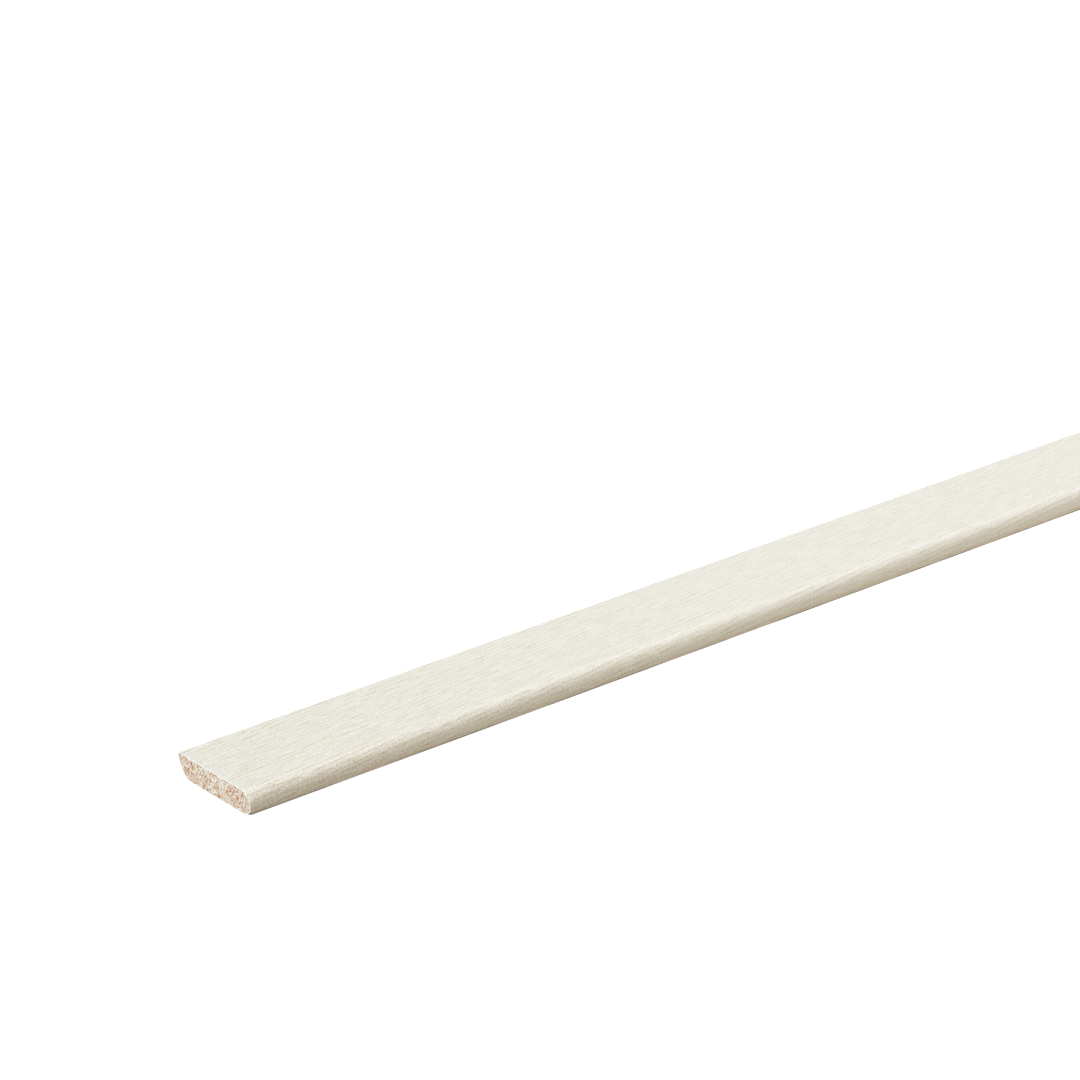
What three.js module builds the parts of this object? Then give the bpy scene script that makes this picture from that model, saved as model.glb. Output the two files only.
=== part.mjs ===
import * as THREE from 'three';

// A length of skirting board, lying on its flat back, in millimetres.
// +X runs along the board, +Z points out of its decorated front,
// the rounded edge is at -Y and the undercut edge at +Y.
// The origin is on the back, midway between the ends and between the long edges.

// Driving dimensions
const LENGTH = 625;
const WIDTH = 58;
const THICKNESS = 12.3;
const FOIL_THICKNESS = 0.5;
const FOIL_LAP = 2.2;           // how far the foil reaches down behind the lip
const NOSE_RADIUS = 7;          // the rounded edge, where it meets the front
const FOOT_RADIUS = 2.7;        // the rounded edge, where it meets the back
const LIP_RADIUS = 1.2;         // the front's other long edge, over the undercut
const UNDERCUT_DEPTH = 7.7;     // how far short of the lip the back stops
const UNDERCUT_RADIUS = 16;     // convex sweep from the lip down to the back

// Fineness of the arcs
const NOSE_STEPS = 24;
const SMALL_ARC_STEPS = 8;
const UNDERCUT_STEPS = 16;

const DOWN = 1.5 * Math.PI;
const LEFT = Math.PI;
const UP = 0.5 * Math.PI;
const RIGHT = 0;

function arc(centre, radius, fromAngle, toAngle, steps) {
  const points = [];
  for (let step = 0; step <= steps; step += 1) {
    const angle = fromAngle + (toAngle - fromAngle) * step / steps;
    const spoke = new THREE.Vector2(Math.cos(angle), Math.sin(angle));
    points.push(spoke.multiplyScalar(radius).add(centre));
  }
  return points;
}

// An arc that bulges to the left of the way from start to end, without its two ends.
function sweep(start, end, radius, steps) {
  const chord = end.clone().sub(start);
  const halfChord = chord.length() / 2;
  const toCentre = new THREE.Vector2(chord.y, -chord.x).normalize();
  const centre = start.clone().add(end).multiplyScalar(0.5);
  centre.addScaledVector(toCentre, Math.sqrt(radius ** 2 - halfChord ** 2));
  const fromAngle = start.clone().sub(centre).angle();
  const turn = 2 * Math.asin(halfChord / radius);
  return arc(centre, radius, fromAngle, fromAngle - turn, steps).slice(1, -1);
}

// The line that the foil follows, at a depth under the board's outer face:
// from the foot, round the nose, over the front and round the lip.
function wrappedLine(depth) {
  const side = WIDTH / 2;
  const foot = new THREE.Vector2(FOOT_RADIUS - side, FOOT_RADIUS);
  const nose = new THREE.Vector2(NOSE_RADIUS - side, THICKNESS - NOSE_RADIUS);
  const lip = new THREE.Vector2(side - LIP_RADIUS, THICKNESS - LIP_RADIUS);
  return [
    ...arc(foot, FOOT_RADIUS - depth, DOWN, LEFT, SMALL_ARC_STEPS),
    ...arc(nose, NOSE_RADIUS - depth, LEFT, UP, NOSE_STEPS),
    ...arc(lip, LIP_RADIUS - depth, UP, RIGHT, SMALL_ARC_STEPS),
    new THREE.Vector2(side - depth, THICKNESS - FOIL_LAP),
  ];
}

// The core fills the foil, sweeps in below the lip and has a flat back.
// The foil's foot is let in flush with the back.
function coreSection() {
  const underFoil = wrappedLine(FOIL_THICKNESS);
  const undercutTop = underFoil.at(-1);
  const undercutFoot = new THREE.Vector2(WIDTH / 2 - UNDERCUT_DEPTH, 0);
  const backEdge = new THREE.Vector2(FOOT_RADIUS - WIDTH / 2, 0);
  const undercut = sweep(undercutTop, undercutFoot, UNDERCUT_RADIUS, UNDERCUT_STEPS);
  return [...underFoil, ...undercut, undercutFoot, backEdge];
}

function foilSection() {
  return [...wrappedLine(0), ...wrappedLine(FOIL_THICKNESS).reverse()];
}

// A section drawn across the board becomes a piece that runs along it, cut square at both ends.
function runAlong(section, name, material) {
  const geometry = new THREE.ExtrudeGeometry(new THREE.Shape(section), {
    depth: LENGTH,
    steps: 1,
    bevelEnabled: false,
  });
  const piece = new THREE.Mesh(geometry, material);
  const across = new THREE.Vector3(0, 1, 0);
  const out = new THREE.Vector3(0, 0, 1);
  const along = new THREE.Vector3(1, 0, 0);
  piece.quaternion.setFromRotationMatrix(new THREE.Matrix4().makeBasis(across, out, along));
  piece.position.x = -LENGTH / 2;
  piece.name = name;
  return piece;
}

const bareWood = new THREE.MeshStandardMaterial({ color: 0xd8c8b4, roughness: 0.85, metalness: 0 });
const whitewashedFoil = new THREE.MeshStandardMaterial({ color: 0xe9e6dc, roughness: 0.6, metalness: 0 });

const skirtingBoard = new THREE.Group();
skirtingBoard.add(runAlong(coreSection(), 'wood_core', bareWood));
skirtingBoard.add(runAlong(foilSection(), 'decor_foil', whitewashedFoil));

export default skirtingBoard;
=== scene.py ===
"""A length of skirting board with a wood core and a whitewashed wood-look foil, lying on its back."""

import math

import bpy
import numpy as np
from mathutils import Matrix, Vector


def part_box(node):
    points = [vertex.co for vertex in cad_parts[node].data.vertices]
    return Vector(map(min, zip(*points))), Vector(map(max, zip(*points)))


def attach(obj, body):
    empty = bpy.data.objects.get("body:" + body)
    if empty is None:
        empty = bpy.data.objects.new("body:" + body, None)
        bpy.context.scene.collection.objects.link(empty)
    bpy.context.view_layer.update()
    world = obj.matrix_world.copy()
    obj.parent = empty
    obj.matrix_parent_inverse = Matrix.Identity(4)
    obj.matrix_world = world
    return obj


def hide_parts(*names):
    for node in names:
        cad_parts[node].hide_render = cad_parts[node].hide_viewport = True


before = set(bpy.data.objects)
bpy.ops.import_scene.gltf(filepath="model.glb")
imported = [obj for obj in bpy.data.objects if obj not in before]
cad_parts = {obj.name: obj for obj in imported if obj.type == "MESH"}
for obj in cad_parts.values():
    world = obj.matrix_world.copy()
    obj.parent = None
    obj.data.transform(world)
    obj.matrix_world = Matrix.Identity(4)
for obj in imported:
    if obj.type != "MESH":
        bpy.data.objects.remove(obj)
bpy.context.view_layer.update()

MM = 0.001

# The board's section, in metres, with +Y towards the undercut edge and +Z out of the front
_, core_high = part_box("wood_core")
foil_low, foil_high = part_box("decor_foil")
LENGTH = foil_high.x - foil_low.x
HALF_LENGTH = LENGTH / 2
SIDE = foil_high.y
THICKNESS = foil_high.z
FOIL = foil_high.z - core_high.z
FOIL_LAP = 2.2 * MM
NOSE_RADIUS = 7 * MM
FOOT_RADIUS = 2.7 * MM
LIP_RADIUS = 1.2 * MM
UNDERCUT_DEPTH = 7.7 * MM
UNDERCUT_RADIUS = 16 * MM

# Sizes of the mesh faces
FLAT_COLUMN = 0.5 * MM
ROUND_COLUMN = 0.26 * MM
FOIL_ROW = 1.2 * MM
FOIL_LAYERS = 3
CORE_COLUMN = 0.27 * MM
CORE_ROW = 4 * MM
CORE_LAYERS = 44
END_ROWS = (0, 0.3 * MM, 0.7 * MM, 1.3 * MM)
FEWEST_STEPS = 2


# Lines of the section

def arc(centre, radius, start, end, spacing):
    """Points along an arc and their outward directions, without the last point."""
    steps = max(FEWEST_STEPS, round(abs(end - start) * radius / spacing))
    angles = start + (end - start) * np.arange(steps) / steps
    outward = np.stack([np.cos(angles), np.sin(angles)], 1)
    return np.array(centre) + radius * outward, outward


def straight(start, end, outward, spacing):
    """Points along a straight stretch and their outward direction, without the last point."""
    start, end = np.array(start), np.array(end)
    steps = max(FEWEST_STEPS, round(np.linalg.norm(end - start) / spacing))
    share = np.arange(steps)[:, None] / steps
    return start + (end - start) * share, np.tile(outward, (steps, 1))


def wrapped_line(flat_spacing, round_spacing):
    """The foil's outer line, from behind the lip, over the front and round the nose to the foot."""
    right, up, left, down = 0, math.pi / 2, math.pi, 1.5 * math.pi
    lip = (SIDE - LIP_RADIUS, THICKNESS - LIP_RADIUS)
    nose = (NOSE_RADIUS - SIDE, THICKNESS - NOSE_RADIUS)
    foot = (FOOT_RADIUS - SIDE, FOOT_RADIUS)
    stretches = [
        straight((SIDE, THICKNESS - FOIL_LAP), (SIDE, lip[1]), (1, 0), round_spacing),
        arc(lip, LIP_RADIUS, right, up, round_spacing),
        straight((lip[0], THICKNESS), (nose[0], THICKNESS), (0, 1), flat_spacing),
        arc(nose, NOSE_RADIUS, up, left, round_spacing),
        straight((-SIDE, nose[1]), (-SIDE, foot[1]), (-1, 0), round_spacing),
        arc(foot, FOOT_RADIUS, left, down, round_spacing),
        (np.array([[foot[0], 0]]), np.array([[0, -1]])),
    ]
    points = np.concatenate([stretch[0] for stretch in stretches])
    outward = np.concatenate([stretch[1] for stretch in stretches])
    return points, outward


def run_of(points):
    """How far along the line each point lies."""
    steps = np.linalg.norm(np.diff(points, axis=0), axis=1)
    return np.concatenate([[0], np.cumsum(steps)])


def undercut_arc(spacing):
    """The convex sweep from the back's edge up to the end of the foil behind the lip."""
    foot = np.array([SIDE - UNDERCUT_DEPTH, 0])
    top = np.array([SIDE - FOIL, THICKNESS - FOIL_LAP])
    chord = top - foot
    half_chord = np.linalg.norm(chord) / 2
    to_centre = np.array([-chord[1], chord[0]]) / np.linalg.norm(chord)
    centre = (foot + top) / 2 + to_centre * math.sqrt(UNDERCUT_RADIUS**2 - half_chord**2)
    start, end = (math.atan2(*(point - centre)[::-1]) for point in (foot, top))
    points, _ = arc(centre, UNDERCUT_RADIUS, start, end, spacing)
    return np.concatenate([[foot], points[1:], [top]])


def back_line(spacing):
    """The core's bare line, from under the foil's foot, along the flat back and up the undercut."""
    foot = (FOOT_RADIUS - SIDE, FOOT_RADIUS)
    under_foil, _ = arc(foot, FOOT_RADIUS - FOIL, math.pi, 1.5 * math.pi, spacing)
    flat_start = (foot[0] + spacing, 0)
    flat, _ = straight(flat_start, (SIDE - UNDERCUT_DEPTH, 0), (0, -1), spacing)
    return np.concatenate([under_foil, [(foot[0], FOIL)], flat, undercut_arc(spacing)])


def corner_drop(past, radius):
    """How far the core has dropped, this far past the start of the foil's arc of this radius."""
    inner = radius - FOIL
    return inner - np.sqrt(inner**2 - np.clip(past, 0, inner) ** 2)


def front_height(y):
    """The height of the core's front, where it meets the foil, above each y."""
    nose_drop = corner_drop(NOSE_RADIUS - SIDE - y, NOSE_RADIUS)
    lip_drop = corner_drop(y - (SIDE - LIP_RADIUS), LIP_RADIUS)
    return THICKNESS - FOIL - nose_drop - lip_drop


def rows_along(spacing):
    """Places along the board, closer together at both ends."""
    near_end = np.array(END_ROWS)
    middle_start = near_end[-1] + spacing / 2
    middle_steps = round((LENGTH - 2 * middle_start) / spacing)
    middle = np.linspace(middle_start, LENGTH - middle_start, middle_steps + 1)
    return np.concatenate([near_end, middle, LENGTH - near_end[::-1]]) - HALF_LENGTH


# Patterns of grain, as fields of numbers over a rectangle

def smooth_noise(rng, along, across):
    """Noise between -1 and 1, with one bump for each unit of the two coordinates."""
    rows, columns = int(along.max()) + 2, int(across.max()) + 2
    lattice = rng.uniform(-1, 1, (rows, columns))
    i, j = along.astype(int), across.astype(int)
    a, b = along - i, across - j
    a, b = a * a * (3 - 2 * a), b * b * (3 - 2 * b)
    low = lattice[i, j] * (1 - b) + lattice[i, j + 1] * b
    high = lattice[i + 1, j] * (1 - b) + lattice[i + 1, j + 1] * b
    return low * (1 - a) + high * a


class Field:
    """Numbers on a regular grid over a rectangle, to draw strokes in and to read anywhere."""

    def __init__(self, size, cell):
        self.cell = cell
        counts = [math.ceil(side / step) + 1 for side, step in zip(size, cell)]
        self.along = np.arange(counts[0]) * cell[0]
        self.across = np.arange(counts[1]) * cell[1]
        self.values = np.zeros(counts)

    def window(self, axis, middle, reach):
        """The grid's cells within this reach of a place."""
        first = max(0, int((middle - reach) / self.cell[axis]))
        last = int((middle + reach) / self.cell[axis]) + 2
        return slice(first, max(first, last))

    def stroke(self, middle, length, width, slope, strength):
        """Adds one stroke that fades at both ends. slope is its sideways shift along its length."""
        faded_out = 2.5 * width
        rows = self.window(0, middle[0], length / 2)
        columns = self.window(1, middle[1], faded_out + abs(slope) * length / 2)
        along = self.along[rows, None] - middle[0]
        across = self.across[None, columns] - middle[1] - slope * along
        taper = np.clip(1 - (2 * along / length) ** 2, 0, 1)
        self.values[rows, columns] += strength * taper * np.exp(-((across / width) ** 2))

    def read(self, along, across):
        """The numbers at these places, blended between the grid's cells."""
        over_one_cell = 1.001
        u = np.clip(along / self.cell[0], 0, len(self.along) - over_one_cell)
        v = np.clip(across / self.cell[1], 0, len(self.across) - over_one_cell)
        i, j = u.astype(int), v.astype(int)
        a, b = u - i, v - j
        low = self.values[i, j] * (1 - b) + self.values[i, j + 1] * b
        high = self.values[i + 1, j] * (1 - b) + self.values[i + 1, j + 1] * b
        return low * (1 - a) + high * a


# The printed grain slants a little across the board and strays in slow waves
GRAIN_SLANT = 0.08
GRAIN_WAVE = 1.6 * MM
GRAIN_WAVE_SIZE = (75 * MM, 24 * MM)
GRAIN_WAVE_CELL = (5 * MM, 2 * MM)
GRAIN_WAVE_SEED = 3

# Pores come in chains of dashes. The ranges of lengths and widths are in millimetres.
PORE_CELL = (0.6 * MM, 0.12 * MM)
PORE_SEED = 11
PORE_CHAINS = 3600
PORE_STRENGTHS = (0.2, 1.0)
PORE_STRENGTH_POWER = 1.5
CHAIN_LENGTHS = (3, 22)
DASH_LENGTHS = (2.5, 7)
DASH_WIDTHS = (0.2, 0.3)
DASH_GAPS = (-0.5, 1.5)
DASH_STRAY = 0.08 * MM


def grain_waves(width):
    """How far the printed grain strays sideways in slow waves, over the unrolled foil."""
    field = Field((LENGTH, width), GRAIN_WAVE_CELL)
    place = [field.along / GRAIN_WAVE_SIZE[0], field.across / GRAIN_WAVE_SIZE[1]]
    u, v = np.meshgrid(*place, indexing="ij")
    field.values = GRAIN_WAVE * (1 + smooth_noise(np.random.default_rng(GRAIN_WAVE_SEED), u, v))
    return field


def embossed_pores(reach):
    """Chains of short dashes that run with the grain, as depths between 0 and 1."""
    rng = np.random.default_rng(PORE_SEED)
    field = Field((LENGTH, reach), PORE_CELL)
    for _ in range(PORE_CHAINS):
        along, across = rng.uniform(0, LENGTH), rng.uniform(0, reach)
        end = along + rng.uniform(*CHAIN_LENGTHS) * MM
        strength = rng.uniform(*PORE_STRENGTHS) ** PORE_STRENGTH_POWER
        while along < end:
            length = rng.uniform(*DASH_LENGTHS) * MM
            middle = along + length / 2, across + rng.normal(0, DASH_STRAY)
            field.stroke(middle, length, rng.uniform(*DASH_WIDTHS) * MM, 0, strength)
            along += length + rng.uniform(*DASH_GAPS) * MM
    field.values = 1 - np.exp(-field.values)
    return field


class PrintedGrain:
    """Where the grain runs on the unrolled foil, and how deep its pores are there."""

    def __init__(self, width):
        self.waves = grain_waves(width)
        self.pores = embossed_pores(width + GRAIN_SLANT * LENGTH + 2 * GRAIN_WAVE)

    def across(self, along, across):
        """The place across the grain, which stays the same along each wavy fibre."""
        return across + GRAIN_SLANT * along + self.waves.read(along, across)

    def depth(self, along, across):
        return self.pores.read(along, self.across(along, across))


# The end grain has dark strokes along leaning rings, and dark and pale specks all over.
# The ranges of lengths and widths are in millimetres.
END_GRAIN_SIDE = 72 * MM
END_GRAIN_CELL = 0.15 * MM
END_GRAIN_SEED = 21
RING_PITCH = 1.9 * MM
RING_LEAN = math.radians(60)
RING_STROKES = 34
RING_STRAY = 0.25 * MM
RING_STROKE_LENGTHS = (1.2, 3.6)
RING_STROKE_WIDTHS = (0.25, 0.5)
RING_STROKE_SLOPE = 0.15
RING_STROKE_TONES = (0.3, 1.3)
SPECKS = 5200
SPECK_LENGTHS = (0.8, 2.4)
SPECK_WIDTHS = (0.2, 0.42)
SPECK_SLOPE = 0.35
SPECK_TONES = (0.3, 1.1)
DARK_OR_PALE = (0.35, 0.65)


def ring_strokes(rng, field):
    """Dark strokes, ring by ring."""
    for ring in np.arange(0, END_GRAIN_SIDE, RING_PITCH):
        for _ in range(RING_STROKES):
            middle = rng.uniform(0, END_GRAIN_SIDE), ring + rng.normal(0, RING_STRAY)
            length = rng.uniform(*RING_STROKE_LENGTHS) * MM
            width = rng.uniform(*RING_STROKE_WIDTHS) * MM
            slope = rng.normal(0, RING_STROKE_SLOPE)
            field.stroke(middle, length, width, slope, -rng.uniform(*RING_STROKE_TONES))


def scattered_specks(rng, field):
    """Short dark and pale strokes in no order."""
    for _ in range(SPECKS):
        middle = rng.uniform(0, END_GRAIN_SIDE, 2)
        length = rng.uniform(*SPECK_LENGTHS) * MM
        width = rng.uniform(*SPECK_WIDTHS) * MM
        tone = rng.uniform(*SPECK_TONES) * rng.choice((-1, 1), p=DARK_OR_PALE)
        field.stroke(middle, length, width, rng.normal(0, SPECK_SLOPE), tone)


def sawn_end_grain(seed):
    """Tones of a cut end, dark below 0 and pale above. The first axis runs up the leaning rings."""
    rng = np.random.default_rng(seed)
    field = Field((END_GRAIN_SIDE, END_GRAIN_SIDE), (END_GRAIN_CELL, END_GRAIN_CELL))
    ring_strokes(rng, field)
    scattered_specks(rng, field)
    field.values = np.tanh(field.values)
    return field


# Meshes

SHARP_ANGLE = math.radians(38)


class Piece:
    """Collects points, faces, looks and the faces' places on a flat map, in millimetres there."""

    def __init__(self, name):
        self.name = name
        self.points = []
        self.count = 0
        self.faces = []
        self.looks = []
        self.flat = []
        self.attributes = {}

    def add_points(self, points, **attributes):
        """Adds points of any grid shape, with a number each for some attributes, and returns ids."""
        shape = points.shape[:-1]
        total = int(np.prod(shape))
        self.points.append(points.reshape(-1, 3))
        for key, values in attributes.items():
            self.attributes.setdefault(key, []).append((self.count, np.reshape(values, -1)))
        ids = np.arange(self.count, self.count + total).reshape(shape)
        self.count += total
        return ids

    def add_quads(self, ids, look, flat):
        """Adds a grid's quads. flat gives each grid point's place on the flat map."""
        corners = [(slice(None, -1), slice(None, -1)), (slice(1, None), slice(None, -1)),
                   (slice(1, None), slice(1, None)), (slice(None, -1), slice(1, None))]
        quads = np.stack([ids[corner] for corner in corners], -1).reshape(-1, 4)
        places = np.stack([flat[corner] for corner in corners], -2).reshape(-1, 2)
        self.faces.extend(quads.tolist())
        self.looks.extend([look] * len(quads))
        self.flat.append(places)

    def add_face(self, ids, look, flat):
        self.faces.append([int(i) for i in ids])
        self.looks.append(look)
        self.flat.append(np.asarray(flat, float))

    def build(self, materials):
        """Makes the Blender object. Each face's look is a place in the list of materials."""
        mesh = bpy.data.meshes.new(self.name)
        mesh.from_pydata(np.concatenate(self.points).tolist(), [], self.faces)
        mesh.polygons.foreach_set("material_index", self.looks)
        for material in materials:
            mesh.materials.append(material)
        for key, parts in self.attributes.items():
            values = np.zeros(self.count, np.float32)
            for start, part in parts:
                values[start:start + len(part)] = part
            mesh.attributes.new(key, "FLOAT", "POINT").data.foreach_set("value", values)
        flat = np.concatenate(self.flat)
        flat = (flat - flat.min(0)) / np.ptp(flat, axis=0)
        mesh.uv_layers.new(name="OFBake").uv.foreach_set("vector", flat.astype(np.float32).ravel())
        mesh.shade_smooth()
        mesh.set_sharp_from_angle(angle=SHARP_ANGLE)
        piece = bpy.data.objects.new(self.name, mesh)
        bpy.context.scene.collection.objects.link(piece)
        return piece


# The flat map, in millimetres: strips of skin, and below them the ends and the hidden sides
FLAT_STRIPS = 3
FLAT_GAP = 1.0
END_FLAT_DEPTH = {"foil_wrap": 2.0, "core_strip": 12.0}
HIDDEN_FLAT_DEPTH = 4.0
NARROW_FLAT_DEPTH = 1.0


def grid_of(first, second):
    """Two coordinates as one array of pairs over a grid."""
    return np.stack(np.meshgrid(first, second, indexing="ij"), -1)


def add_skin(piece, skin, x, s, look):
    """The fine outer surface, cut into strips on the flat map. Returns the flat map's next place."""
    breaks = np.linspace(0, len(x) - 1, FLAT_STRIPS + 1).round().astype(int)
    for strip, (first, last) in enumerate(zip(breaks, breaks[1:])):
        flat = grid_of(s + strip * (s[-1] + FLAT_GAP), x[first:last + 1] - x[first])
        piece.add_quads(skin[:, first:last + 1], look, flat[..., ::-1])
    return FLAT_STRIPS * (s[-1] + FLAT_GAP)


def add_cut_ends(piece, near, far, s, top, look):
    """The two cut ends. Returns the flat map's next place."""
    depth = END_FLAT_DEPTH[piece.name]
    for order, ids in ((1, near), (-1, far)):
        flat = grid_of(s, top + np.linspace(0, depth, ids.shape[1]))
        piece.add_quads(ids[:, ::-order], look, flat[:, ::-order])
        top += depth + FLAT_GAP
    return top


def add_hidden_side(piece, near, far, x, s, top, look):
    """The side opposite the skin, as one row of long quads. Returns the flat map's next place."""
    back = np.stack([near[:, -1], far[:, -1]], 1)
    depths = top + np.linspace(0, HIDDEN_FLAT_DEPTH, len(s))
    flat = grid_of(depths, np.array([0, x[-1] / FLAT_STRIPS]))
    piece.add_quads(back[:, ::-1], look, flat[:, ::-1, ::-1])
    return top + HIDDEN_FLAT_DEPTH + FLAT_GAP


def add_narrow_sides(piece, skin, near, far, x, top, look):
    """The two narrow long sides. The strip next to the skin is one face, with a corner at each row."""
    x = x / FLAT_STRIPS
    for column, flip in ((0, 1), (-1, -1)):
        face = list(skin[column]) + [far[column, 1], near[column, 1]]
        bottom = top + NARROW_FLAT_DEPTH
        flat = [(place, top) for place in x] + [(x[-1], bottom), (0, bottom)]
        piece.add_face(face[::-flip], look, flat[::-flip])
        top = bottom + FLAT_GAP
        side = np.stack([near[column, 1:], far[column, 1:]], 1)
        depths = top + np.linspace(0, NARROW_FLAT_DEPTH, side.shape[0])
        flat = grid_of(depths, np.array([0, x[-1]]))
        piece.add_quads(side[:, ::flip], look, flat[:, ::flip, ::-1])
        top += NARROW_FLAT_DEPTH + FLAT_GAP


def long_piece(name, rows, run, ends, skin, looks, **skin_attributes):
    """A closed piece that runs along the board.

    ends are the two cut ends, as grids of columns by layers, near end first. skin is the fine
    outer surface between them, columns by inner rows. The other long sides are hidden or narrow.
    looks are the materials' places in the piece's list, for the skin, the ends and the other sides.
    """
    skin_look, end_look, hidden_look = looks
    piece = Piece(name)
    near, far = (piece.add_points(end, **attributes) for end, attributes in ends)
    inner = piece.add_points(skin, **skin_attributes)
    whole_skin = np.concatenate([near[:, :1], inner, far[:, :1]], 1)
    x, s = (rows - rows[0]) / MM, run / MM
    top = add_skin(piece, whole_skin, x, s, skin_look)
    top = add_cut_ends(piece, near, far, s, top, end_look)
    top = add_hidden_side(piece, near, far, x, s, top, hidden_look)
    add_narrow_sides(piece, whole_skin, near, far, x, top, hidden_look)
    return piece


# The cut end's pressed corners: where each is round the nose's centre, how wide and how deep
CRUSH_REACH = 2.2 * MM
CRUSHED_NOSE = (math.radians(60), math.radians(26), 0.75 * MM)
CRUSHED_FOOT = (math.radians(128), math.radians(20), 1.0 * MM)

# Relief of the foil
PORE_DEPTH = 0.045 * MM
PORE_FADE = 1 * MM
CHIP = 0.16 * MM
CHIP_SEED = 5
CHIP_SIZE = 0.9 * MM
FINE_CHIPS_PER_CHIP = 2.7
FINE_CHIP_SHARE = 0.4
CHIPPED_MIDDLE = 0.35
CHIP_SLOPE_POWER = 0.7

# Relief of the core's sawn ends: END_RELIEF comes from the grain's tone and from roughness
END_RELIEF = 0.09 * MM
GRAIN_RELIEF_SHARE = 0.8
ROUGH_RELIEF_SHARE = 0.2
ROUGH_SIZE = 0.5 * MM
ROUGH_SEED = 8
TEAR_OUT = 0.35 * MM
TEAR_HEIGHT = 0.7 * MM
TEAR_SIZE = 1.1 * MM
TEAR_GAIN = 2.2
TEAR_CUT = 0.9


def crushed(points):
    """Points near the cut end with the nose's and the foot's corners pressed in a little there.

    turn goes round the nose's centre, from the front over the side to the foot and the back.
    """
    x, y, z = np.moveaxis(points, -1, 0)
    aside, above = y - (NOSE_RADIUS - SIDE), z - (THICKNESS - NOSE_RADIUS)
    turn = np.arctan2(-aside, above) % (2 * math.pi)
    depth = sum(deep * np.exp(-(((turn - middle) / width) ** 2))
                for middle, width, deep in (CRUSHED_NOSE, CRUSHED_FOOT))
    share = depth / NOSE_RADIUS * np.clip(1 - (x + HALF_LENGTH) / CRUSH_REACH, 0, 1) ** 2
    return np.stack([x, y - aside * share, z - above * share], -1)


def ragged(rng, run, depth):
    """How far the saw has chipped the foil back, deepest at its outer face."""
    position = run / CHIP_SIZE
    across = np.zeros_like(position)
    chips = smooth_noise(rng, position, across) * (1 - FINE_CHIP_SHARE)
    chips += smooth_noise(rng, position * FINE_CHIPS_PER_CHIP, across) * FINE_CHIP_SHARE
    outer = CHIP * np.clip(CHIPPED_MIDDLE + chips, 0, 1)
    inside = 1 - depth / depth[-1]
    return outer[:, None] * inside[None, :] ** CHIP_SLOPE_POWER


def foil_end(rng, side, line, outward, run):
    """A cut end of the foil, as columns by layers, a little ragged."""
    depth = np.linspace(0, FOIL, FOIL_LAYERS + 1)
    yz = line[:, None] - outward[:, None] * depth[None, :, None]
    x = side * (HALF_LENGTH - ragged(rng, run, depth))
    return crushed(np.concatenate([x[..., None], yz], -1))


def foil_piece():
    """The foil: grooved where the print shows pores, and a little ragged where it is cut."""
    line, outward = wrapped_line(FLAT_COLUMN, ROUND_COLUMN)
    run = run_of(line)
    rows = rows_along(FOIL_ROW)
    grain = PrintedGrain(run[-1])

    along, across = np.meshgrid(rows + HALF_LENGTH, run)
    painted = {
        "pores": grain.depth(along, across),
        "across": grain.across(along, across),
        "edgeward": across,
    }
    fade = np.clip(np.minimum(run, run[-1] - run) / PORE_FADE, 0, 1)[:, None]
    sunk = PORE_DEPTH * painted["pores"] * fade
    skin_yz = line[:, None] - outward[:, None] * sunk[..., None]
    skin_x = np.broadcast_to(rows[None, :, None], skin_yz.shape[:2] + (1,))
    skin = crushed(np.concatenate([skin_x, skin_yz], -1))

    rng = np.random.default_rng(CHIP_SEED)
    layers = np.ones(FOIL_LAYERS + 1)
    ends = []
    for side, row in ((-1, 0), (1, -1)):
        end = foil_end(rng, side, line, outward, run)
        ends.append((end, {key: values[:, row, None] * layers for key, values in painted.items()}))
    inner = slice(1, -1)
    inner_painted = {key: values[:, inner] for key, values in painted.items()}
    return long_piece("foil_wrap", rows, run, ends, skin[:, inner], (0, 1, 1), **inner_painted)


def core_end(rng, side, y, low, high):
    """A sawn end of the core, as columns by layers, rough where the saw tore the wood."""
    share = np.linspace(0, 1, CORE_LAYERS + 1)
    z = low[:, None] + (high - low)[:, None] * share[None, :]
    y = np.repeat(y[:, None], len(share), 1)
    shift = END_GRAIN_SIDE / 2
    up_ring = -y * math.cos(RING_LEAN) + z * math.sin(RING_LEAN) + shift
    over_ring = y * math.sin(RING_LEAN) + z * math.cos(RING_LEAN) + shift
    tone = sawn_end_grain(END_GRAIN_SEED + side).read(up_ring, over_ring)
    rough = smooth_noise(rng, (y + SIDE) / ROUGH_SIZE, z / ROUGH_SIZE)
    relief = END_RELIEF * (GRAIN_RELIEF_SHARE * (1 - tone) / 2 + ROUGH_RELIEF_SHARE * (1 + rough) / 2)
    edge = np.clip(1 - z / TEAR_HEIGHT, 0, 1)
    tears = smooth_noise(rng, (y + SIDE) / TEAR_SIZE, 0 * y)
    relief += TEAR_OUT * edge * np.clip(tears * TEAR_GAIN - TEAR_CUT, 0, 1)
    x = side * (HALF_LENGTH - relief)
    return crushed(np.stack([x, y, z], -1)), {"tone": tone}


def core_piece():
    """The core: two sawn ends, a planed back and undercut, and plain faces under the foil."""
    line = back_line(CORE_COLUMN)
    run = run_of(line)
    rows = rows_along(CORE_ROW)
    y, low = line.T
    high = front_height(y)
    rng = np.random.default_rng(ROUGH_SEED)
    ends = [core_end(rng, side, y, low, high) for side in (-1, 1)]
    along = np.tile(rows[1:-1], (len(run), 1))
    skin = np.stack([along, np.repeat(y[:, None], along.shape[1], 1),
                     np.repeat(low[:, None], along.shape[1], 1)], -1)
    return long_piece("core_strip", rows, run, ends, crushed(skin), (1, 0, 1))


# Materials

LATTICE_TURN = 0.6


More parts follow.
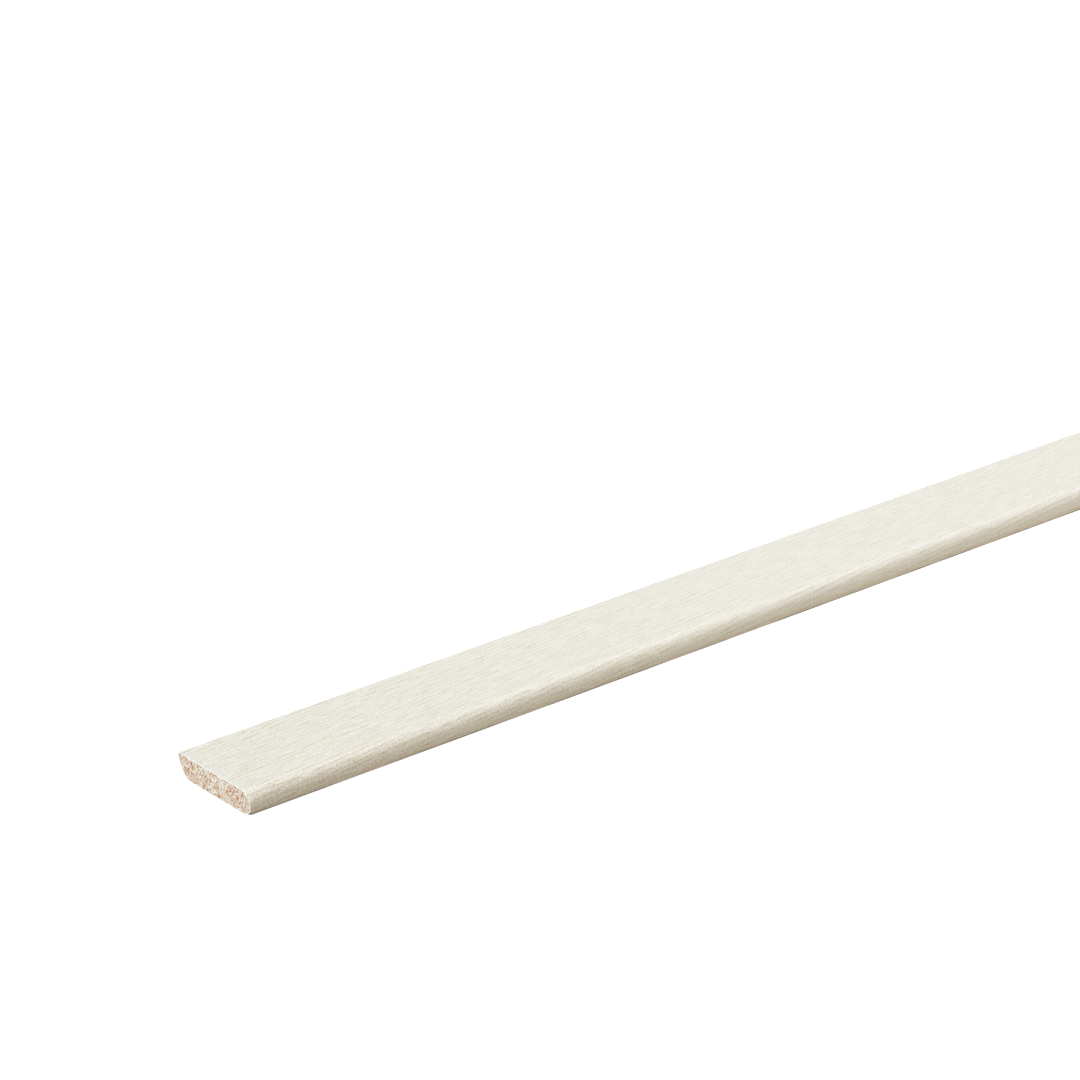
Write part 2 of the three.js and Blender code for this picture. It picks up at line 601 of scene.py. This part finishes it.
class Look:
    """Builds one material's nodes with short calls."""

    def __init__(self, name, roughness):
        self.material = bpy.data.materials.new(name)
        self.material.use_nodes = True
        self.tree = self.material.node_tree
        self.shader = self.tree.nodes["Principled BSDF"]
        self.shader.inputs["Roughness"].default_value = roughness

    def plug(self, socket, value):
        """Sets a socket to a value, or links another node's socket to it."""
        if isinstance(value, bpy.types.NodeSocket):
            self.tree.links.new(value, socket)
        else:
            socket.default_value = value

    def node(self, kind, links=None, **settings):
        """Adds a node. links fills its sockets, by name or number, with values or other sockets."""
        node = self.tree.nodes.new("ShaderNode" + kind)
        for key, value in settings.items():
            setattr(node, key, value)
        for key, value in (links or {}).items():
            self.plug(node.inputs[key], value)
        return node

    def attribute(self, name):
        return self.node("Attribute", attribute_name=name).outputs["Fac"]

    def axis(self, vector, name):
        """One coordinate of a vector."""
        return self.node("SeparateXYZ", {0: vector}).outputs[name]

    def maths(self, operation, *values):
        links = dict(enumerate(values))
        return self.node("Math", links, operation=operation).outputs[0]

    def noise(self, vector, size, detail, roughness=0.5):
        """Noise in space, with features of this size."""
        links = {0: vector, 1: [1 / side for side in size]}
        counted = self.node("VectorMath", links, operation="MULTIPLY").outputs[0]
        links = {"Vector": counted, "Scale": 1.0, "Detail": detail, "Roughness": roughness}
        return self.node("TexNoise", links).outputs["Fac"]

    def flat_noise(self, place, size, detail=0.0, turn=LATTICE_TURN):
        """Noise over a flat place, with features of this size. turn sets its hidden lattice askew."""
        links = {"Vector": place, "Scale": [1 / side for side in size] + [1], "Rotation": (0, 0, turn)}
        askew = self.node("Mapping", links).outputs[0]
        links = {"Vector": askew, "Scale": 1.0, "Detail": detail}
        return self.node("TexNoise", links, noise_dimensions="2D").outputs["Fac"]

    def spread(self, value, low, high, new_low, new_high):
        """The value moved from one range into another, and held there."""
        links = {"Value": value, "From Min": low, "From Max": high, "To Min": new_low, "To Max": new_high}
        return self.node("MapRange", links).outputs[0]

    def mix(self, factor, first, second, blend="MIX"):
        """A blend of two colours. The node keeps its colour sockets behind those of other kinds."""
        node = self.node("Mix", {0: factor, 6: first, 7: second}, data_type="RGBA", blend_type=blend)
        return node.outputs[2]

    def finish(self, colour, height, distance):
        """The material with this colour, and with bumps this high."""
        bump = self.node("Bump", {"Height": height, "Distance": distance, "Strength": 1.0})
        self.tree.links.new(colour, self.shader.inputs["Base Color"])
        self.tree.links.new(bump.outputs[0], self.shader.inputs["Normal"])
        return self.material


def object_place(look):
    return look.node("TexCoord").outputs["Object"]


def unrolled_place(look):
    """Along the board and across the wavy printed grain, in metres."""
    along = look.axis(object_place(look), "X")
    return look.node("CombineXYZ", {"X": along, "Y": look.attribute("across")}).outputs[0]


# The print's ground, which turns from bluish to yellowish in slow bands and fine specks
PRINT_ROUGHNESS = 0.4
BLUISH_GROUND = (0.815, 0.819, 0.818, 1)
YELLOWISH_GROUND = (0.846, 0.853, 0.778, 1)
BAND_SIZE = (160 * MM, 12 * MM)
BAND_SHARE = 0.45
TINT_SPECK_SIZE = (2.5 * MM, 1.2 * MM)
TINT_REACH = 0.28

# The print's brown ink: fibres, broken lines, the embossed pores and grit
STREAK = (0.555, 0.465, 0.325, 1)
FIBRE_SIZE = (13 * MM, 1.05 * MM)
FIBRE_CUT = (0.35, 0.75)
FIBRE_SHARE = 0.08
LINE_PITCHES = (3.0 * MM, 2.5 * MM)
LINE_REACH = 0.24
LINE_SHARE = 0.34
LINE_STRAY = 1.5
STRAY_SIZE = (60 * MM, 14 * MM)
STRAY_TURNS = (0.4, 1.3)
GAP_SIZE = (11 * MM, 1.6 * MM)
GAP_CUT = (0.39, 0.57)
GAP_TURNS = (0.2, 1.0)
PORE_SHARE = 0.25
GRIT_SIZE = (1.2 * MM, 0.9 * MM)
GRIT_TURN = 0.3
GRIT_CUT = (0.2, 0.8)
GRIT_MIDDLE = 0.175
GRIT_SHARES = (0.175, 0.32)
INK_BUMP = 0.03 * MM

# Over one run round the nose the ink and its grit get stronger, as painted shade of the grain's relief,
# and up to mid-board they get calmer
RELIEF_SHADE_RUN = (53 * MM, 60 * MM)
RELIEF_SHADE_SHARE = 1.2
CALMER_RUN = (-300 * MM, 0)
CALMER_SHARE = 0.6
EVENER_INK = 0.055

# Painted shade on the side, darker and yellower towards the foot, then darker painted shade near the
# foot, then a painted contact shadow along the foot's edge
PAINTED_SIDE_SHADE = (0.875, 0.805, 0.655, 1)
PAINTED_SIDE_SHADE_RUN = (57 * MM, 65.5 * MM)
# Painted shade: darker again over the last few millimetres to the foot
PAINTED_FOOT_SHADE = (0.62, 0.56, 0.49, 1)
PAINTED_FOOT_SHADE_RUN = (64.5 * MM, 68.5 * MM)
# Painted contact shadow: a patchy dark line along the foot's edge
PAINTED_CONTACT_SHADOW = (0.33, 0.29, 0.23, 1)
PAINTED_CONTACT_SHADOW_RUN = (66.8 * MM, 67.3 * MM)
PAINTED_CONTACT_SHADOW_PATCH = (30 * MM, 30 * MM)
PAINTED_CONTACT_SHADOW_CUT = (0.3, 0.6)
PAINTED_CONTACT_SHADOW_SHARES = (0.3, 1)


def print_ground(look, place):
    """The cream ground under the ink."""
    band = look.maths("MULTIPLY", look.flat_noise(place, BAND_SIZE, detail=2), BAND_SHARE)
    tint = look.maths("ADD", band, look.flat_noise(place, TINT_SPECK_SIZE, detail=1))
    middle = (1 + BAND_SHARE) / 2
    tint = look.spread(tint, middle - TINT_REACH, middle + TINT_REACH, 0, 1)
    return look.mix(tint, BLUISH_GROUND, YELLOWISH_GROUND)


def broken_lines(look, place, pitch, stray_turn, gap_turn):
    """Thin lines along the grain at about this pitch, which stray sideways and have gaps in them."""
    waves = look.flat_noise(place, STRAY_SIZE, detail=1, turn=stray_turn)
    stray = look.maths("MULTIPLY", waves, LINE_STRAY)
    count = look.maths("MULTIPLY_ADD", look.axis(place, "Y"), 1 / pitch, stray)
    from_middle = look.maths("ABSOLUTE", look.maths("SUBTRACT", look.maths("FRACT", count), 0.5))
    line = look.spread(from_middle, 0, LINE_REACH, LINE_SHARE, 0)
    gaps = look.spread(look.flat_noise(place, GAP_SIZE, turn=gap_turn), *GAP_CUT, 0, 1)
    return look.maths("MULTIPLY", line, gaps)


def print_ink(look, place, edgeward):
    """How much brown ink there is: fibres, lines, pores and grit."""
    ink = look.spread(look.flat_noise(place, FIBRE_SIZE), *FIBRE_CUT, 0, FIBRE_SHARE)
    for kind in zip(LINE_PITCHES, STRAY_TURNS, GAP_TURNS):
        ink = look.maths("ADD", ink, broken_lines(look, place, *kind))
    ink = look.maths("MULTIPLY_ADD", look.attribute("pores"), PORE_SHARE, ink)
    # Painted shade of the grain's relief: the ink grows stronger round the nose
    ink = look.maths("MULTIPLY", ink, look.spread(edgeward, *RELIEF_SHADE_RUN, 1, RELIEF_SHADE_SHARE))
    grit = look.spread(look.flat_noise(place, GRIT_SIZE, turn=GRIT_TURN), *GRIT_CUT, -1, 1)
    # Painted shade of the grain's relief: the grit grows stronger round the nose too
    grit_with_relief_shade = look.spread(edgeward, *RELIEF_SHADE_RUN, *GRIT_SHARES)
    ink = look.maths("MULTIPLY_ADD", grit, grit_with_relief_shade, look.maths("ADD", ink, GRIT_MIDDLE))
    along = look.axis(place, "X")
    calmer = look.spread(along, *CALMER_RUN, 1, CALMER_SHARE)
    evener = look.spread(along, *CALMER_RUN, 0, EVENER_INK)
    return look.maths("MULTIPLY_ADD", ink, calmer, evener)


def painted_shade_towards_foot(look, place, edgeward, colour):
    """The colour with painted shade on the side, darker and yellower towards the foot, and a patchy
    painted contact shadow along the foot's edge.
    """
    # Painted shade: the side turns darker and yellower towards the foot
    colour = look.mix(look.spread(edgeward, *PAINTED_SIDE_SHADE_RUN, 0, 1), colour, PAINTED_SIDE_SHADE, "MULTIPLY")
    # Painted shade: darker again near the foot
    colour = look.mix(look.spread(edgeward, *PAINTED_FOOT_SHADE_RUN, 0, 1), colour, PAINTED_FOOT_SHADE, "MULTIPLY")
    # Painted contact shadow: a patchy dark line along the foot's edge
    patches = look.spread(look.flat_noise(place, PAINTED_CONTACT_SHADOW_PATCH), *PAINTED_CONTACT_SHADOW_CUT, *PAINTED_CONTACT_SHADOW_SHARES)
    contact_shadow = look.maths("MULTIPLY", look.spread(edgeward, *PAINTED_CONTACT_SHADOW_RUN, 0, 1), patches)
    return look.mix(contact_shadow, colour, PAINTED_CONTACT_SHADOW, "MULTIPLY")


def whitewashed_print():
    """Cream ground with fine brown fibres, thin broken lines, embossed pores and a fine grit."""
    look = Look("whitewashed_print", PRINT_ROUGHNESS)
    place = unrolled_place(look)
    edgeward = look.attribute("edgeward")
    ink = print_ink(look, place, edgeward)
    colour = look.mix(look.spread(ink, 0, 1, 0, 1), print_ground(look, place), STREAK)
    # Painted shade and a painted contact shadow towards the foot
    colour = painted_shade_towards_foot(look, place, edgeward, colour)
    return look.finish(colour, look.maths("MULTIPLY", ink, -1.0), INK_BUMP)


# The foil's cut edge
FOIL_WHITE = (0.95, 0.97, 0.98, 1)
FOIL_GREY = (0.84, 0.86, 0.88, 1)
FOIL_BODY_ROUGHNESS = 0.6
FOIL_GRIT_SIZE = (0.6 * MM, 0.6 * MM, 0.6 * MM)
FOIL_GRIT_CUT = (0.3, 0.7)
FOIL_GRIT_BUMP = 0.03 * MM

# The core's cut ends
WOOD_TAN = (0.74, 0.57, 0.40, 1)
WOOD_GREY = (0.64, 0.59, 0.51, 1)
WOOD_PALE = (0.83, 0.87, 0.85, 1)
WOOD_BROWN = (0.43, 0.165, 0.04, 1)
SAWN_ROUGHNESS = 0.85
SAWN_HUE_SIZE = (1.4 * MM, 1.4 * MM, 1.4 * MM)
SAWN_HUE_CUT = (0.35, 0.65)
SAWN_GRIT_SIZE = (0.9 * MM, 0.9 * MM, 0.9 * MM)
SAWN_GRIT_CUT = (0.25, 0.75)
SAWN_GRIT_SHARES = (-0.75, 0.75)
FULLY_BROWN = -1.0
FULLY_PALE = 0.9
SAWN_BUMP = 0.08 * MM

# The core's back and undercut
PLANED_PALE = (0.70, 0.57, 0.42, 1)
PLANED_TAN = (0.58, 0.43, 0.28, 1)
PLANED_BROWN = (0.40, 0.25, 0.13, 1)
PLANED_ROUGHNESS = 0.7
PLANED_BAND_SIZE = (350 * MM, 4.5 * MM, 4.5 * MM)
PLANED_BAND_CUT = (0.38, 0.62)
PLANED_FIBRE_SIZE = (30 * MM, 0.5 * MM, 0.5 * MM)
PLANED_FIBRE_CUT = (0.4, 0.75)
PLANED_FIBRE_SHARE = 0.6
PLANED_BUMP = 0.05 * MM


def white_foil_body():
    """The foil's white thickness, as it shows where it is cut."""
    look = Look("white_foil_body", FOIL_BODY_ROUGHNESS)
    grit = look.noise(object_place(look), FOIL_GRIT_SIZE, detail=3)
    colour = look.mix(look.spread(grit, *FOIL_GRIT_CUT, 0, 1), FOIL_WHITE, FOIL_GREY)
    return look.finish(colour, grit, FOIL_GRIT_BUMP)


def sawn_wood():
    """Bare end grain: tan wood with brown blotches, pale specks and a gritty sawn surface."""
    look = Look("sawn_wood", SAWN_ROUGHNESS)
    place = object_place(look)
    hue = look.noise(place, SAWN_HUE_SIZE, detail=1)
    grit = look.noise(place, SAWN_GRIT_SIZE, detail=1)
    gritty = look.spread(grit, *SAWN_GRIT_CUT, *SAWN_GRIT_SHARES)
    tone = look.maths("ADD", look.attribute("tone"), gritty)
    middle = look.mix(look.spread(hue, *SAWN_HUE_CUT, 0, 1), WOOD_TAN, WOOD_GREY)
    colour = look.mix(look.spread(tone, FULLY_BROWN, 0, 1, 0), middle, WOOD_BROWN)
    colour = look.mix(look.spread(tone, 0, FULLY_PALE, 0, 1), colour, WOOD_PALE)
    return look.finish(colour, grit, SAWN_BUMP)


def planed_wood():
    """Bare long grain on the back and the undercut: growth bands and fibres."""
    look = Look("planed_wood", PLANED_ROUGHNESS)
    place = object_place(look)
    band = look.noise(place, PLANED_BAND_SIZE, detail=2)
    fibre = look.noise(place, PLANED_FIBRE_SIZE, detail=4, roughness=0.6)
    colour = look.mix(look.spread(band, *PLANED_BAND_CUT, 0, 1), PLANED_PALE, PLANED_TAN)
    brown = look.spread(fibre, *PLANED_FIBRE_CUT, 0, PLANED_FIBRE_SHARE)
    return look.finish(look.mix(brown, colour, PLANED_BROWN), fibre, PLANED_BUMP)


# Stage

FLOOR_HALF = 15
FLOOR_COLOUR = (0.04, 0.04, 0.04, 1)
FLOOR_ROUGHNESS = 0.9
FLOOR_SPECULAR = 0.1
FLOOR_GLOW_COLOUR = (1, 0.995, 0.99, 1)
FLOOR_GLOW = (1.04, 1.38)
SURROUND_COLOUR = (1.0, 0.6, 0.3, 1)
SURROUND_STRENGTH = 0.01
KEY_DIRECTION = (-0.43, 0.06, 1.0)
KEY_ANGLE = math.radians(10)
KEY_STRENGTH = 3.85
KEY_COLOUR = (0.98, 0.992, 1.0)
BACK_PLACE = (0.99, 0.27, 1.36)
BACK_SIZE = 0.5
BACK_POWER = 2.6
BACK_COLOUR = (0.95, 0.97, 0.84)
FILL_PLACE = (-0.1, -1.4, 0.62)
FILL_SIZE = 0.6
FILL_POWER = 1.75
FILL_COLOUR = (1.0, 0.75, 0.35)

# The camera, as fitted to the photograph's 1080 pixels
PHOTO_SIDE = 1080
FOCAL_PIXELS = 5157
SENSOR = 36
AZIMUTH = math.radians(-39.508)
ELEVATION = math.radians(24.62)
CORNER_DISTANCE = 2.478
CORNER_PIXEL = (177.93, 751.63)
FARTHEST_SEEN = 60


def linked(name, data):
    """A new object in the scene."""
    item = bpy.data.objects.new(name, data)
    bpy.context.scene.collection.objects.link(item)
    return item


def floor():
    """A plain floor, large enough to fill every view.

    It glows white like a light table, more strongly towards the board's far end.
    """
    mesh = bpy.data.meshes.new("floor")
    corners = [(-FLOOR_HALF, -FLOOR_HALF, 0), (FLOOR_HALF, -FLOOR_HALF, 0),
               (FLOOR_HALF, FLOOR_HALF, 0), (-FLOOR_HALF, FLOOR_HALF, 0)]
    mesh.from_pydata(corners, [], [(0, 1, 2, 3)])
    look = Look("pale_floor", FLOOR_ROUGHNESS)
    along = look.axis(object_place(look), "X")
    look.plug(look.shader.inputs["Base Color"], FLOOR_COLOUR)
    look.plug(look.shader.inputs["Specular IOR Level"], FLOOR_SPECULAR)
    look.plug(look.shader.inputs["Emission Color"], FLOOR_GLOW_COLOUR)
    glow = look.spread(along, -HALF_LENGTH, HALF_LENGTH, *FLOOR_GLOW)
    look.plug(look.shader.inputs["Emission Strength"], glow)
    mesh.materials.append(look.material)
    return linked("floor", mesh)


def softbox(name, place, size, power, colour):
    """A square area light that faces the board's middle."""
    light = bpy.data.lights.new(name, "AREA")
    light.size = size
    light.energy = power
    light.color = colour
    lamp = linked(name, light)
    lamp.location = place
    lamp.rotation_euler = Vector(place).to_track_quat("Z", "Y").to_euler()
    lamp.visible_camera = False


def soft_surround():
    """A weak even warm light from all round."""
    world = bpy.data.worlds.new("surround")
    bpy.context.scene.world = world
    world.use_nodes = True
    light = world.node_tree.nodes["Background"]
    light.inputs["Color"].default_value = SURROUND_COLOUR
    light.inputs["Strength"].default_value = SURROUND_STRENGTH


def key_light():
    """A soft distant light, high up and a little towards the cut end that the photograph shows."""
    light = bpy.data.lights.new("key", "SUN")
    light.energy = KEY_STRENGTH
    light.angle = KEY_ANGLE
    light.color = KEY_COLOUR
    lamp = linked("key", light)
    lamp.rotation_euler = Vector(KEY_DIRECTION).to_track_quat("Z", "Y").to_euler()


def photo_camera():
    """The photograph's camera, placed so that the lip's corner falls on its pixel."""
    camera_data = bpy.data.cameras.new("photo_camera")
    camera_data.sensor_width = SENSOR
    camera_data.lens = FOCAL_PIXELS / PHOTO_SIDE * SENSOR
    camera_data.clip_end = FARTHEST_SEEN
    camera = linked("photo_camera", camera_data)
    back = Vector((
        math.sin(AZIMUTH) * math.cos(ELEVATION),
        -math.cos(AZIMUTH) * math.cos(ELEVATION),
        math.sin(ELEVATION),
    ))
    right = Vector((math.cos(AZIMUTH), math.sin(AZIMUTH), 0))
    up = back.cross(right)
    corner = Vector((-HALF_LENGTH, SIDE, THICKNESS))
    aside = (CORNER_PIXEL[0] - PHOTO_SIDE / 2) / FOCAL_PIXELS * CORNER_DISTANCE
    above = (PHOTO_SIDE / 2 - CORNER_PIXEL[1]) / FOCAL_PIXELS * CORNER_DISTANCE
    camera.location = corner - right * aside - up * above + back * CORNER_DISTANCE
    camera.rotation_euler = back.to_track_quat("Z", "Y").to_euler()
    bpy.context.scene.camera = camera


def main():
    bpy.context.scene.view_settings.view_transform = "Standard"
    photo_camera()
    key_light()
    softbox("back", BACK_PLACE, BACK_SIZE, BACK_POWER, BACK_COLOUR)
    softbox("fill", FILL_PLACE, FILL_SIZE, FILL_POWER, FILL_COLOUR)
    soft_surround()
    floor()

    foil = foil_piece().build([whitewashed_print(), white_foil_body()])
    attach(foil, "root")
    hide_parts("decor_foil")

    core = core_piece().build([sawn_wood(), planed_wood()])
    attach(core, "root")
    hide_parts("wood_core")


main()
